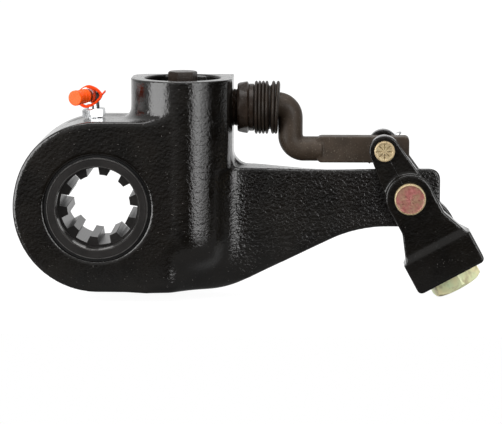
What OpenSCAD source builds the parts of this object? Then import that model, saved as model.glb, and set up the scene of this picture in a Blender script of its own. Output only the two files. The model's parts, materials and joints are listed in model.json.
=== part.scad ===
// Self-adjusting brake slack adjuster for a splined camshaft.
// The origin is on the axis of the camshaft bore, level with the middle of the wheel's teeth.
// +X runs along the arm to the clevis, +Y along the camshaft, +Z up the worm shaft.
// All sizes are in millimetres.

/* [Camshaft bore] */
// Diameter over the spline roots
spline_major_d = 38.1; // [35:0.1:40]
// Diameter inside the spline teeth
spline_minor_d = 30.9; // [28:0.1:33]
// Width of the gap between two spline teeth
spline_gap_w = 6; // [4:0.1:7]
// Number of spline teeth
spline_count = 10; // [8:1:11]
// Angle of the first spline tooth above the arm
spline_turn = 9; // [0:1:35]
// Diameter of the washer recess in front of the splines
bore_recess_d = 40.6; // [40.2:0.1:44]
// Depth of the washer recess
bore_recess_depth = 9.5; // [4:0.5:14]

/* [Wheel and worm] */
// Diameter of the wheel hub
hub_d = 49.8; // [47:0.2:54]
// How far the hub stands out of the housing at each face
hub_proud = 0.2; // [0:0.1:1]
// Wall between the hub and the roots of the wheel teeth
tooth_root_wall = 1.4; // [1:0.1:3]
// Number of wheel teeth
wheel_teeth = 24; // [22:1:28]
// Width of the wheel teeth along the camshaft
tooth_face_w = 14; // [10:0.5:15]
// Pitch diameter of the worm
worm_pitch_d = 23; // [22:0.2:26]
// Share of the pitch that one tooth takes up at the pitch line
tooth_share = 0.42; // [0.38:0.01:0.44]
// Pressure angle of all teeth
pressure_angle = 25; // [20:1:25]
// Length of worm thread past the last tooth it meets, at each end
worm_runout = 1; // [0.5:0.1:1.5]
// Space below the worm thread
worm_foot_gap = 4; // [3:0.1:5]
// Space above the worm thread
worm_head_gap = 3; // [2.5:0.1:3.4]

/* [Housing] */
// Distance from the middle of the wheel's teeth to the housing's back
plate_back = 20; // [19:0.5:23]
// Wall of the round end outside the cover seat
nose_wall = 6.6; // [4:0.2:9]
// Wall of the worm barrel in front
barrel_wall = 10.8; // [8:0.2:14]
// How far the front of the barrel stands out of the plate's front
barrel_proud = 0.4; // [0.2:0.1:1]
// Distance of the machined pad from the worm axis
pad_offset = 24.7; // [23.5:0.1:25]
// Reach of the pad in front of the worm axis
pad_front = 15; // [13:0.5:18]
// Radius of the rounded lower end of the barrel
barrel_round = 12; // [8:0.5:14]
// Height of the barrel's lower end below the camshaft
barrel_low = 32; // [30:0.5:34]
// How far the back of the barrel's lower end is set in from the plate's back
foot_back_in = 1; // [0.5:0.1:3]
// Radius of the corner at the left back of the barrel
barrel_corner = 8; // [2:0.5:10]
// Radius of the fillets between barrel and arm
arm_fillet = 8; // [5:0.5:9]
// Radius of the fillet between barrel and plate
plate_fillet = 5; // [4:0.5:8]
// Distance from the worm axis to the crease where the plate turns into the arm
crease_back = 3.4; // [1:0.2:6]

/* [Arm] */
// Distance from the camshaft to the clevis pin along the arm
pin_x = 152.4; // [146:0.2:160]
// Height of the clevis pin above the camshaft
pin_z = 4.6; // [2:0.2:7]
// Thickness of the arm
arm_t = 20; // [18:0.5:22]
// Height of the arm above the clevis pin
arm_up = 13.7; // [12:0.1:15]
// Depth of the arm below the clevis pin
arm_down = 15.3; // [13:0.1:17]
// Reach of the arm past the clevis pin
arm_reach = 15.1; // [13.5:0.1:16]
// Slope of the arm's lower edge
arm_slope = 25.9; // [22:0.1:29]
// Radius where the lower edge runs out towards the clevis
arm_neck_r = 66; // [40:1:80]
// Distance from the clevis pin to the start of that radius
arm_neck_back = 10.4; // [6:0.2:16]
// Radius where the lower edge runs into the foot of the housing
arm_foot_r = 40; // [25:1:50]
// Radius of the upper corner at the arm's end
arm_tip_r = 5; // [3:0.5:8]
// Radius of the lower corner at the arm's end
arm_heel_r = 10; // [6:0.5:12]
// Sag of the arm's upper edge between barrel and clevis
arm_sag = 0.7; // [0:0.1:1.5]
// Wall of the bush in the arm's eye
arm_bush_wall = 2; // [1.5:0.1:3]

/* [Adjuster] */
// Height of the rack above the camshaft
rack_z = 46.8; // [46:0.1:48]
// Radius of the round rack
rack_r = 7.3; // [7:0.1:7.5]
// Module of rack and pinion
rack_module = 1.25; // [1.2:0.01:1.3]
// Share of the pitch that one rack or pinion tooth takes up
rack_tooth_share = 0.35; // [0.3:0.01:0.36]
// Number of pinion teeth
pinion_teeth = 12; // [12:1:13]
// Height of the pinion teeth along the shaft
pinion_face_w = 10; // [8:0.5:11]
// Depth of the rack tips below the rack's own axis
rack_flat = 1.95; // [1.5:0.05:2.2]
// Length of the rack behind the worm axis
rack_tail = 17; // [15:0.5:18]
// Space behind the rack's tail
rack_end_space = 3.5; // [3:0.1:4]
// Length of the rack past its pin
rack_head = 6; // [5.5:0.1:6.4]
// Length of the rack's flat past the pinion
rack_runout = 4.2; // [3.8:0.1:4.4]
// Web between the rack's flat and its fork slot
fork_web = 1.4; // [1:0.1:1.6]
// Distance from the worm axis to the rack pin
rack_pin_x = 20.5; // [20:0.1:22]
// Radius of the rack pin
rack_pin_r = 2.5; // [2:0.1:2.8]
// Free play round the rack pin in the link
rack_play = 1.2; // [1.1:0.1:1.4]
// Width of the fork slot in the rack
fork_slot = 4.6; // [4:0.1:5]
// Radius of the worm shaft inside clutch and pinion
shaft_r = 4.3; // [3.8:0.1:4.4]
// Radius of the worm shaft in the lower bush
journal_r = 6.5; // [5.5:0.1:7.5]
// Wall of the lower bush
lower_bush_wall = 3; // [2:0.2:4]
// Length of the lower bush
lower_bush_len = 9; // [6:0.5:10]
// Length of the upper bearing
bearing_len = 8; // [6:0.5:9]
// Outer radius of the clutch hub
clutch_r = 7.5; // [7.2:0.1:8]
// Length of the clutch hub
clutch_len = 5; // [4:0.1:5.6]
// Radius of the clutch spring's wire
spring_wire_r = 0.8; // [0.6:0.05:1]
// Turns of the clutch spring
spring_turns = 5; // [4:1:5]
// Thickness of the thrust washer
thrust_t = 1.4; // [1:0.1:1.6]

/* [Barrel top] */
// Radius of the recess in the top of the barrel
top_recess_r = 18.6; // [17.6:0.1:19.5]
// Depth of the recess above the cover
top_recess_depth = 4.7; // [4.4:0.1:7]
// Thickness of the top cover
top_cover_t = 2.2; // [1.8:0.1:3]
// Space between pinion and top cover
top_space = 3.2; // [3:0.1:5]
// Size across the flats of the adjusting hexagon
hex_af = 12.7; // [11:0.1:14]
// How far the hexagon stands above the barrel
hex_proud = 3.1; // [1:0.1:6]
// Turn of the hexagon about the worm axis
hex_turn = 15; // [0:1:60]
// Radius of the round collar under the hexagon
hex_collar_r = 8.1; // [7.8:0.1:8.6]
// Radial width of the shaft seal
shaft_seal_w = 1.6; // [1.2:0.1:2]
// Width of the retaining rings inside their bores
ring_w = 2.2; // [1.8:0.1:3]
// Thickness of the retaining rings
ring_t = 1.2; // [1:0.1:1.4]
// Depth of the grooves of the retaining rings
ring_groove = 0.8; // [0.5:0.1:1]

/* [Wheel closure] */
// Thickness of the rear cover
rear_cover_t = 3.6; // [3:0.1:4]
// Depth of the rear cover below the housing's back
rear_cover_in = 2.4; // [2:0.1:3]
// Width of the seat of the rear cover outside the wheel chamber
rear_seat_w = 2.6; // [2:0.1:4]
// Width of the front wheel seal
seal_w = 1.3; // [1:0.1:2]
// Thickness of the wheel seals
seal_t = 2; // [1.5:0.1:3]
// Depth of the front seal below the housing's face
seal_in = 1; // [0.5:0.1:2]

/* [Gland and boot] */
// Radius of the gland's threaded neck
gland_neck_r = 9.3; // [9:0.1:10]
// Length of the neck inside the housing
gland_thread_len = 5; // [4:0.2:5.6]
// Length of the neck between pad and hexagon
gland_neck_len = 2.3; // [1.5:0.1:4]
// Size across the flats of the gland
gland_af = 24.3; // [23:0.1:26]
// Length of the gland's hexagon
gland_hex_len = 5.6; // [4:0.1:8]
// Turn of the gland's hexagon
gland_turn = 8; // [0:1:60]
// Length of the spigot that carries the boot
spigot_len = 4; // [3:0.1:6]
// Wall of the gland round its bore
gland_wall = 1.5; // [1.3:0.1:1.7]
// Length of the boot's cuff
cuff_len = 2.6; // [2:0.1:3]
// Wall of the boot's cuff
cuff_wall = 2; // [1:0.1:3]
// Number of boot ribs
boot_ribs = 6; // [5:1:8]
// Length of one boot rib
rib_pitch = 1.86; // [1.6:0.02:2.2]
// Radius of the ribs
rib_r = 13.4; // [12.6:0.1:14.5]
// Depth of the grooves between ribs
rib_depth = 1.8; // [1:0.1:2.2]
// Wall of the boot
boot_wall = 1.2; // [1:0.1:1.5]

/* [Link] */
// Radius of the link rod
rod_r = 6.1; // [5.8:0.1:6.4]
// Radius of the link rod inside the gland
rod_neck_r = 5.5; // [5:0.1:5.6]
// Bend radius of the link rod
rod_bend_r = 6.6; // [6.5:0.1:7.5]
// Height of the rod's upper run above the rack's axis
rod_rise = 1.5; // [0:0.1:1.6]
// Distance from the boot's end to the upright run of the rod
rod_drop_gap = 6.7; // [6.6:0.1:8]
// Height of the link bar's axis below the link pin
bar_below = 1.3; // [0:0.05:1.5]
// Height of the link bar
bar_h = 12.9; // [12:0.1:13.4]
// Thickness of the link bar
bar_t = 9.6; // [9:0.1:10]
// Length of the bar behind the link pin
bar_back = 32.8; // [28:0.2:34]
// Length of the bar past the link pin
bar_front = 12.6; // [10:0.2:13]
// Space between the rack's head and the thicker part of the link
tongue_room = 1.2; // [1:0.1:1.6]
// Length of the thinner part of the link past the gland
rod_neck_out = 3; // [2.6:0.1:3.4]
// Wall of the spacer on the link pin
spacer_wall = 2.4; // [1.5:0.1:3]
// Radius of the bar's end corners
bar_corner = 2; // [1:0.1:4]

/* [Clevis] */
// Tilt of the clevis from upright
clevis_tilt = 28.5; // [26:0.5:29]
// Distance from the clevis pin to the link pin
link_arm = 26.2; // [25.6:0.1:27]
// Radius of the clevis pin
clevis_pin_r = 6.35; // [5.8:0.05:6.6]
// Radius of the link pin
link_pin_r = 4; // [3.5:0.05:4.3]
// Gap between the ears
ear_gap = 21; // [20.8:0.1:22]
// Thickness of an ear
ear_t = 8.8; // [7:0.1:10]
// Step from the main ear's face back to the link ear's face
ear_step = 2.5; // [1:0.1:4]
// Radius of the main ear
ear_r = 11.8; // [10.5:0.1:13]
// Radius of the link ear
link_ear_r = 7.5; // [6.5:0.1:8.5]
// How far the edges of the link ear start inside the main ear
link_ear_in = 1; // [0.5:0.1:2]
// How far the waist of the main ear is set in
ear_waist_in = 0.3; // [0:0.1:1]
// How far the foot of the main ear is set in from the base block
ear_foot_in = 1; // [0.5:0.1:2]
// Depth of the slot below the clevis pin
slot_depth = 25.2; // [25:0.1:26.2]
// Distance from the clevis pin to the top of the base block
base_top = 27.5; // [26.5:0.1:29]
// Height of the base block
base_h = 16.8; // [12:0.1:20]
// Width of the base block
base_w = 36.4; // [33:0.2:38]
// How far the base block stands proud of the ears
base_proud = 1.3; // [0.5:0.1:2]
// Height of the bevel that leads from the ears out to the base block
base_bevel = 2.6; // [1:0.1:3.2]
// Radius of the base block's corners
base_corner = 2.4; // [1:0.1:4]
// Radius of the clevis pin's head
clevis_head_r = 7.6; // [7.5:0.1:9]
// Thickness of the clevis pin's head
clevis_head_t = 3.6; // [2:0.1:5]
// Radius of the link pin's head
link_head_r = 5; // [4.8:0.1:6]
// Thickness of the link pin's head
link_head_t = 2.4; // [1.5:0.1:3]
// Thickness of the washers behind the ears
washer_t = 1.6; // [1:0.1:2]
// Radial width of the clevis pin's washer
washer_w = 3.4; // [2.5:0.1:4]
// Radial width of the link pin's washer
link_washer_w = 2.4; // [2:0.1:3]
// Radius of the cotter pins
cotter_r = 1.4; // [1:0.1:1.6]
// Length of the pins past the washers
pin_tail = 6; // [5:0.1:8]

/* [Push rod collar] */
// Radius of the threaded hole for the push rod
rod_hole_r = 7.25; // [6.5:0.05:7.6]
// Radius of the collar's threaded body
collar_r = 9.9; // [9.4:0.1:10.6]
// Size across the flats of the collar
collar_af = 23.8; // [22:0.1:25]
// Height of the collar's hexagon
collar_h = 7.6; // [5:0.1:10]
// Distance from the slot's floor to the collar's inner end
collar_in = 0.8; // [0.5:0.1:2]
// Chamfer of the collar's hexagon
collar_chamfer = 1.4; // [0.5:0.1:1.6]
// Turn of the collar about the clevis axis
collar_turn = 11.8; // [0:0.1:60]

/* [Grease fitting] */
// Tilt of the fitting along the round end
fitting_tilt = 4.2; // [0:0.1:10]
// Size across the flats of the fitting
fitting_af = 10.2; // [9:0.1:12]
// Height of the fitting's hexagon
fitting_hex_h = 4.4; // [2.5:0.1:5]
// Radius of the fitting's stem
fitting_stem_r = 3.2; // [2.8:0.1:3.4]
// Radial depth of the thread below the fitting's hexagon
fitting_thread = 0.6; // [0.4:0.1:1]
// Turn of the fitting's hexagon
fitting_turn = 20; // [0:1:60]
// Height of the elbow above the housing
elbow_h = 11.2; // [10:0.1:12]
// Direction of the nipple about the stem
nipple_turn = 243; // [200:1:270]
// Radius of the nipple's neck
nipple_neck_r = 3.9; // [3.6:0.1:4.2]
// Radius of the nipple
nipple_r = 2.5; // [2:0.1:2.8]
// Length of the nipple from the elbow
nipple_len = 13; // [12:0.1:14]
// Radius of the cap's disc
cap_disc_r = 3.75; // [3.6:0.05:4.5]
// Thickness of the cap's disc
cap_disc_t = 2.4; // [1.5:0.1:3]
// Wall of the cap
cap_wall = 0.7; // [0.6:0.05:1]
// Thickness of the cap between nipple and disc
cap_floor = 0.6; // [0.4:0.1:1]
// Distance from the stem to the strap's ring
strap_off = 0.5; // [0.3:0.1:0.8]
// Length of the neck past the strap's ring
neck_out = 0.4; // [0.2:0.1:0.6]
// Width of the strap's ring
strap_w = 1.4; // [1:0.1:2]
// Thickness of the strap
strap_t = 1.5; // [1:0.1:1.6]

/* [Clearances] */
// Radial clearance of running fits
run_fit = 0.07; // [0.04:0.01:0.1]
// Space left between pieces that move past each other
move_gap = 0.3; // [0.3:0.05:0.5]
// Radial clearance of pieces that stay put
seat_fit = 0.02; // [0.01:0.01:0.05]
// Space round the worm and the wheel teeth
gear_gap = 0.7; // [0.5:0.1:1.2]
// Further space round the wheel teeth
chamber_room = 0.8; // [0.5:0.1:1.2]
// Radial clearance of the rack in the housing, and of the housing's rack bore in the gland
rack_fit = 0.1; // [0.05:0.01:0.1]

/* [Hidden] */
$fn = 64;

// Overlap that lets cuts pass cleanly through a face
cut = 1;
// How far a straight edge runs in under a round, so that it crosses the round cleanly
tuck = 0.1;
addendum = 1;
dedendum = 1.2;
rack_dedendum = 1.25;

// Wheel and worm
hub_r = hub_d / 2;
root_r = hub_r + tooth_root_wall;
pitch_r = root_r / (1 - 2 * dedendum / wheel_teeth);
gear_module = 2 * pitch_r / wheel_teeth;
gear_pitch = PI * gear_module;
tip_r = pitch_r + addendum * gear_module;
worm_r = worm_pitch_d / 2;
worm_tip_r = worm_r + addendum * gear_module;
worm_root_r = worm_r - dedendum * gear_module;
worm_x = pitch_r + worm_r;
lead_angle = atan(gear_pitch / (2 * PI * worm_r));
mesh_half = sqrt(pow(tip_r, 2) - pow(worm_x - worm_tip_r, 2));
worm_half = mesh_half + worm_runout;
worm_slices_per_turn = 16;
tooth_half = gear_pitch * tooth_share / 2;
tip_half = tooth_half - addendum * gear_module * tan(pressure_angle);
root_half = tooth_half + dedendum * gear_module * tan(pressure_angle);

// Wheel chamber
chamber_r = tip_r + gear_gap + chamber_room;
seat_r = chamber_r + rear_seat_w;
nose_r = seat_r + nose_wall;
chamber_front = -tooth_face_w / 2 - gear_gap;
cover_back = plate_back - rear_cover_in;
cover_front = cover_back - rear_cover_t;

// Worm barrel
worm_bore_r = worm_tip_r + gear_gap;
barrel_r = worm_bore_r + barrel_wall;
plate_front = barrel_r - barrel_proud;
pad_x = worm_x + pad_offset;
bore_floor = -worm_half - worm_foot_gap;
bush_floor = bore_floor - lower_bush_len;
bearing_low = worm_half + worm_head_gap;
bearing_high = bearing_low + bearing_len;
pinion_low = rack_z - pinion_face_w / 2;
pinion_high = rack_z + pinion_face_w / 2;
cover_seat_z = pinion_high + top_space;
cover_top_z = cover_seat_z + top_cover_t;
barrel_top = cover_top_z + top_recess_depth;
hex_top = barrel_top + hex_proud;
collar_low_z = rack_z + rack_r + move_gap;
collar_high_z = cover_top_z + ring_t;

// Rack and pinion
pinion_r = pinion_teeth * rack_module / 2;
pinion_tip_r = pinion_r + addendum * rack_module;
pinion_root_r = pinion_r - rack_dedendum * rack_module;
rack_pitch = PI * rack_module;
rack_tip_y = pinion_r - addendum * rack_module;
rack_y = rack_tip_y - rack_flat;
rack_bore_r = rack_r + rack_fit;
rack_head_x = worm_x + rack_pin_x + rack_head;
rack_flat_end = worm_x + pinion_tip_r + rack_runout;
fork_floor = rack_flat_end + fork_web;
rack_tail_x = worm_x - rack_tail;
rack_bore_end = rack_tail_x - rack_end_space;
clutch_low = bearing_high + move_gap;
clutch_high = clutch_low + clutch_len;
sleeve_low = clutch_high + move_gap;
sleeve_high = rack_z - rack_r - move_gap;

// Arm
arm_half = arm_t / 2;
arm_top = pin_z + arm_up;
arm_low = pin_z - arm_down;
arm_end = pin_x + arm_reach;
arm_neck_x = pin_x - arm_neck_back;
slope_run = (nose_r + arm_low - (arm_neck_r + arm_foot_r) * (1 - cos(arm_slope))) / tan(arm_slope);
arm_foot_x = arm_neck_x - (arm_neck_r + arm_foot_r) * sin(arm_slope) - slope_run;
arm_bush_r = clevis_pin_r + arm_bush_wall;
fillet_x = sqrt(pow(barrel_r + arm_fillet, 2) - pow(arm_half + arm_fillet, 2));
crease_x = worm_x - crease_back;

// Gland, boot and link
gland_bore_r = rack_bore_r + rack_fit;
gland_hex_x = pad_x + gland_neck_len;
gland_end = gland_hex_x + gland_hex_len;
spigot_r = gland_bore_r + gland_wall;
ribs_x = gland_end + cuff_len;
boot_end = ribs_x + boot_ribs * rib_pitch;
rod_drop_x = boot_end + rod_drop_gap;
link_pin_x = pin_x - link_arm * sin(clevis_tilt);
link_pin_z = pin_z + link_arm * cos(clevis_tilt);
bar_z = link_pin_z - bar_below;
rod_z_high = rack_z + rod_rise;
neck_end = gland_end + spigot_len + rod_neck_out;
bar_start = link_pin_x - bar_back;
bar_end = link_pin_x + bar_front;
tongue_t = fork_slot - 2 * move_gap;
tongue_x = worm_x + rack_pin_x;

// Clevis, seen from its own pin with the link ear straight up
gap_half = ear_gap / 2;
ear_face = gap_half + ear_t;
link_face = ear_face - ear_step;
base_low = base_top + base_h;
base_half = ear_face + base_proud;
clevis_tail = ear_face + washer_t + pin_tail;
link_tail = link_face + washer_t + pin_tail;

// Grease fitting
stem_hole_r = fitting_stem_r + fitting_thread;
strap_at = fitting_stem_r + strap_off;
strap_in_r = nipple_neck_r + run_fit;
nipple_neck_len = strap_at + strap_t + neck_out;
cap_start = nipple_neck_len + 3 * move_gap;
cap_bore_r = nipple_r + run_fit;
cap_sleeve_r = cap_bore_r + cap_wall;
cap_bore_end = nipple_len + move_gap;
cap_disc_at = cap_bore_end + cap_floor;

// Points of an arc
function arc(centre, r, from, to, steps) =
    [for (i = [0 : steps]) let (a = from + (to - from) * i / steps) centre + r * [cos(a), sin(a)]];

// Round bars along each axis
module rod_x(r, from, to) {
    translate([from, 0, 0])
        rotate([0, 90, 0])
            cylinder(r = r, h = to - from);
}

module rod_y(r, from, to) {
    translate([0, from, 0])
        rotate([-90, 0, 0])
            cylinder(r = r, h = to - from);
}

module rod_z(r, from, to) {
    translate([0, 0, from])
        cylinder(r = r, h = to - from);
}

// Rings along Y and Z
module ring_y(outer, inner, from, to) {
    difference() {
        rod_y(outer, from, to);
        rod_y(inner, from - cut, to + cut);
    }
}

module ring_z(outer, inner, from, to) {
    difference() {
        rod_z(outer, from, to);
        rod_z(inner, from - cut, to + cut);
    }
}

// A side view, drawn in X and Z, given thickness along Y
module slab(from, to) {
    translate([0, to, 0])
        rotate([90, 0, 0])
            linear_extrude(to - from)
                children();
}

// Hexagon along Z with a chamfer at its upper end
module hex_bar(af, from, to, chamfer) {
    corner_r = af / sqrt(3);
    intersection() {
        translate([0, 0, from])
            cylinder(r = corner_r, h = to - from, $fn = 6);
        union() {
            rod_z(corner_r + cut, from - cut, to - chamfer);
            translate([0, 0, to - chamfer])
                cylinder(r1 = corner_r, r2 = corner_r - chamfer / tan(30), h = chamfer);
        }
    }
}

// Places that other modules work in
module at_worm() {
    translate([worm_x, 0, 0])
        children();
}

module at_rack() {
    translate([0, rack_y, rack_z])
        children();
}

module at_clevis() {
    translate([pin_x, 0, pin_z])
        rotate([0, -clevis_tilt, 0])
            children();
}

module at_link_pin() {
    at_clevis()
        translate([0, 0, link_arm])
            children();
}

module at_fitting() {
    rotate([0, -fitting_tilt, 0])
        translate([0, 0, nose_r])
            children();
}

module at_nipple() {
    at_fitting()
        translate([0, 0, elbow_h])
            rotate([0, 90, nipple_turn])
                children();
}

// Housing
// Side view of the arm: lower edge with its two arcs, rounded end, sagging upper edge and fillet
module arm_outline() {
    foot = arc([arm_foot_x, arm_foot_r - nose_r], arm_foot_r, 270, 270 + arm_slope, 8);
    neck = arc([arm_neck_x, arm_low - arm_neck_r], arm_neck_r, 90 + arm_slope, 90, 8);
    heel = arc([arm_end - arm_heel_r, arm_low + arm_heel_r], arm_heel_r, 270, 360, 8);
    tip = arc([arm_end - arm_tip_r, arm_top - arm_tip_r], arm_tip_r, 0, 90, 6);
    fillet = arc([pad_x + arm_fillet, arm_top + arm_fillet], arm_fillet, 270, 180, 8);
    sag_from = arm_end - arm_tip_r - arm_reach;
    sag_to = pad_x + arm_fillet;
    sag = [for (i = [1 : 9]) let (s = i / 10)
        [sag_from + (sag_to - sag_from) * s, arm_top - arm_sag * pow(sin(180 * s), 2)]];
    polygon(concat(
        [[crease_x - cut, -nose_r]], foot, neck, heel, tip, sag, fillet,
        [[crease_x - cut, arm_top + arm_fillet]]
    ));
}

// Plan of the hollow sweep that leads from one face of the plate at its crease to the arm's face
module flare_half(face) {
    reach = worm_x + fillet_x - crease_x;
    rise = face - arm_half;
    sweep_r = (pow(reach, 2) + pow(rise, 2)) / (2 * rise);
    sweep = arc([worm_x + fillet_x, -arm_half - sweep_r], sweep_r, 90 + asin(reach / sweep_r), 90, 12);
    polygon(concat([[crease_x - cut, 0], [crease_x - cut, -face]], sweep, [[worm_x + fillet_x, 0]]));
}

module flare_plan() {
    flare_half(plate_front);
    mirror([0, 1])
        flare_half(plate_back);
}

// Plan of the barrel above the arm: round in front, flat at the back and at the pad
module barrel_plan() {
    corner = [pad_offset, -pad_front];
    turn = atan2(corner[1], corner[0]) - acos(barrel_r / norm(corner));
    difference() {
        union() {
            circle(barrel_r);
            translate([-barrel_r, 0])
                square([barrel_r + pad_offset, plate_back]);
            polygon([[0, 0], barrel_r * [cos(turn), sin(turn)], corner, [pad_offset, 0]]);
        }
        translate([pad_offset, -barrel_r])
            square([barrel_r, 2 * barrel_r]);
        translate([-barrel_r - cut, plate_back])
            square([2 * (barrel_r + cut), barrel_r]);
        translate([-barrel_r, plate_back - barrel_corner])
            difference() {
                translate([-cut, 0])
                    square([barrel_corner + cut, barrel_corner + cut]);
                translate([barrel_corner, 0])
                    circle(barrel_corner);
            }
    }
}

// Plan of the fillets between the barrel and the arm's two faces
module fillet_plan() {
    front_turn = 180 - atan((arm_half + arm_fillet) / fillet_x);
    front = arc([fillet_x, -arm_half - arm_fillet], arm_fillet, front_turn, 90, 8);
    back = arc([pad_offset + arm_fillet, arm_half + arm_fillet], arm_fillet, 180, 270, 8);
    polygon(concat([[0, 0]], front, [[fillet_x, 0]]));
    polygon(concat([[0, plate_back], [pad_offset, plate_back]], back, [[pad_offset + arm_fillet, 0], [0, 0]]));
}

// Barrel below the arm's upper edge, with its rounded lower end
module barrel_foot() {
    round_z = barrel_round - barrel_low;
    rotate_extrude() {
        translate([0, round_z])
            square([barrel_r, arm_top - round_z]);
        translate([0, -barrel_low])
            square([barrel_r - barrel_round, barrel_low]);
        intersection() {
            translate([barrel_r - barrel_round, round_z])
                circle(barrel_round);
            translate([0, -barrel_low])
                square([barrel_r, barrel_low]);
        }
    }
}

// Fillet that leads from the plate's top up the left side of the barrel
module plate_fillet_ring() {
    hollow = arc([-barrel_r - plate_fillet, nose_r + plate_fillet], plate_fillet, 270, 360, 8);
    profile = concat([[-barrel_r + cut, nose_r - cut], [-barrel_r - plate_fillet, nose_r - cut]], hollow,
        [[-barrel_r + cut, nose_r + plate_fillet]]);
    slab(0, plate_back - barrel_corner)
        polygon(profile);
    intersection() {
        rotate([0, 0, 180])
            rotate_extrude(angle = 90)
                polygon([for (p = profile) [-p[0], p[1]]]);
        translate([-2 * barrel_r, -plate_front, 0])
            cube([2 * barrel_r, plate_front + cut, barrel_top]);
    }
}

module housing_casting() {
    round_z = barrel_round - barrel_low;
    rod_y(nose_r, -plate_front, plate_back);
    translate([0, -plate_front, -nose_r])
        cube([crease_x, plate_front + plate_back, 2 * nose_r]);
    slab(-arm_half, arm_half)
        arm_outline();
    intersection() {
        slab(-plate_front, plate_back)
            arm_outline();
        translate([0, 0, -nose_r])
            linear_extrude(nose_r + round_z)
                flare_plan();
    }
    at_worm() {
        intersection() {
            barrel_foot();
            translate([-2 * barrel_r, plate_back - foot_back_in - 4 * barrel_r, -2 * barrel_r])
                cube(4 * barrel_r);
        }
        translate([0, 0, round_z])
            linear_extrude(arm_top - round_z)
                fillet_plan();
        translate([0, 0, arm_top])
            linear_extrude(barrel_top - arm_top)
                barrel_plan();
        plate_fillet_ring();
    }
}

module housing() {
    color("#1c1c1d")
    difference() {
        housing_casting();
        rod_y(hub_r + run_fit, -plate_front - cut, 0);
        rod_y(hub_r + seal_w, -plate_front - cut, seal_in + seal_t - plate_front);
        rod_y(chamber_r, chamber_front, plate_back);
        rod_y(seat_r, cover_front, plate_back + cut);
        rod_y(seat_r + ring_groove, cover_back, cover_back + ring_t);
        at_worm() {
            rod_z(worm_bore_r, bore_floor, cover_seat_z + cut);
            rod_z(journal_r + lower_bush_wall, bush_floor, bore_floor + cut);
            rod_z(top_recess_r, cover_seat_z, barrel_top + cut);
            rod_z(top_recess_r + ring_groove, cover_top_z, cover_top_z + ring_t);
        }
        at_rack() {
            rod_x(rack_bore_r, rack_bore_end, pad_x);
            rod_x(gland_neck_r, pad_x - gland_thread_len, pad_x + cut);
        }
        translate([pin_x, 0, pin_z])
            rod_y(arm_bush_r, -arm_half - cut, arm_half + cut);
        at_fitting()
            rod_z(stem_hole_r, chamber_r - nose_r - cut, cut);
    }
}

module arm_bush() {
    color("#b08d4a")
    translate([pin_x, 0, pin_z])
        ring_y(arm_bush_r - seat_fit, clevis_pin_r + run_fit, -arm_half, arm_half);
}

// Wheel
module spline_plan() {
    circle(spline_minor_d / 2);
    intersection() {
        circle(spline_major_d / 2);
        for (i = [0 : spline_count - 1])
            rotate(spline_turn + (i + 0.5) * 360 / spline_count)
                translate([0, -spline_gap_w / 2])
                    square([spline_major_d, spline_gap_w]);
    }
}

// One tooth, drawn with its tip along +X and its face along Z
module tooth_plan(root, tip, foot, top) {
    polygon([[root - cut, -foot], [root, -foot], [tip, -top], [tip, top], [root, foot], [root - cut, foot]]);
}

module wheel_teeth_ring() {
    for (i = [0 : wheel_teeth - 1])
        rotate([0, (i + 0.5) * 360 / wheel_teeth, 0])
            rotate([-lead_angle, 0, 0])
                slab(-tooth_face_w / 2, tooth_face_w / 2)
                    tooth_plan(root_r, tip_r, root_half, tip_half);
}

module worm_wheel() {
    hub_front = plate_front + hub_proud;
    hub_back = plate_back + hub_proud;
    color("#3a3b3d")
    difference() {
        union() {
            rod_y(hub_r, -hub_front, hub_back);
            rod_y(root_r, chamber_front + move_gap, cover_front - move_gap);
            intersection() {
                wheel_teeth_ring();
                rod_y(tip_r, -tooth_face_w / 2, tooth_face_w / 2);
            }
        }
        slab(-hub_front - cut, hub_back + cut)
            spline_plan();
        rod_y(bore_recess_d / 2, -hub_front - cut, bore_recess_depth - hub_front);
    }
}

module wheel_seal_front() {
    color("#141414")
        ring_y(hub_r + seal_w - seat_fit, hub_r + run_fit, seal_in - plate_front, seal_in + seal_t - plate_front);
}

module rear_cover() {
    color("#4a4b4d")
    difference() {
        rod_y(seat_r - seat_fit, cover_front, cover_back);
        rod_y(hub_r + run_fit, cover_front - cut, cover_back + cut);
        rod_y(hub_r + seal_w, cover_back - seal_t, cover_back + cut);
    }
}

module wheel_seal_rear() {
    color("#141414")
        ring_y(hub_r + seal_w - seat_fit, hub_r + run_fit, cover_back - seal_t, cover_back);
}

// Open retaining ring in the plane of a cylinder along Z, with its gap along +X
module retaining_ring(outer) {
    gap = 5;
    difference() {
        ring_z(outer, outer - ring_groove - ring_w, 0, ring_t);
        translate([0, -gap / 2, -cut])
            cube([outer + cut, gap, ring_t + 2 * cut]);
    }
}

module rear_retaining_ring() {
    color("#55575a")
    translate([0, cover_back, 0])
        rotate([-90, 0, 0])
            retaining_ring(seat_r + ring_groove - seat_fit);
}

// Worm shaft
// Radius of the worm thread at an angle from the thread's crest
function thread_r(a) =
    let (z = abs(a) / 360 * gear_pitch)
    z <= tip_half ? worm_tip_r
    : z >= root_half ? worm_root_r
    : worm_tip_r - (worm_tip_r - worm_root_r) * (z - tip_half) / (root_half - tip_half);

module worm_thread() {
    crest = 360 * tip_half / gear_pitch;
    foot = 360 * root_half / gear_pitch;
    flank = [for (i = [0 : 5]) crest + (foot - crest) * i / 5];
    turns = 2 * worm_half / gear_pitch;
    angles = concat([for (i = [5 : -1 : 0]) -flank[i]], flank, [180]);
    translate([0, 0, -worm_half])
        rotate(180 - 180 * turns)
            linear_extrude(2 * worm_half, twist = -360 * turns, slices = ceil(turns * worm_slices_per_turn),
                $fn = len(angles))
                polygon([for (a = angles) thread_r(a) * [cos(a), sin(a)]]);
}

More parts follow.
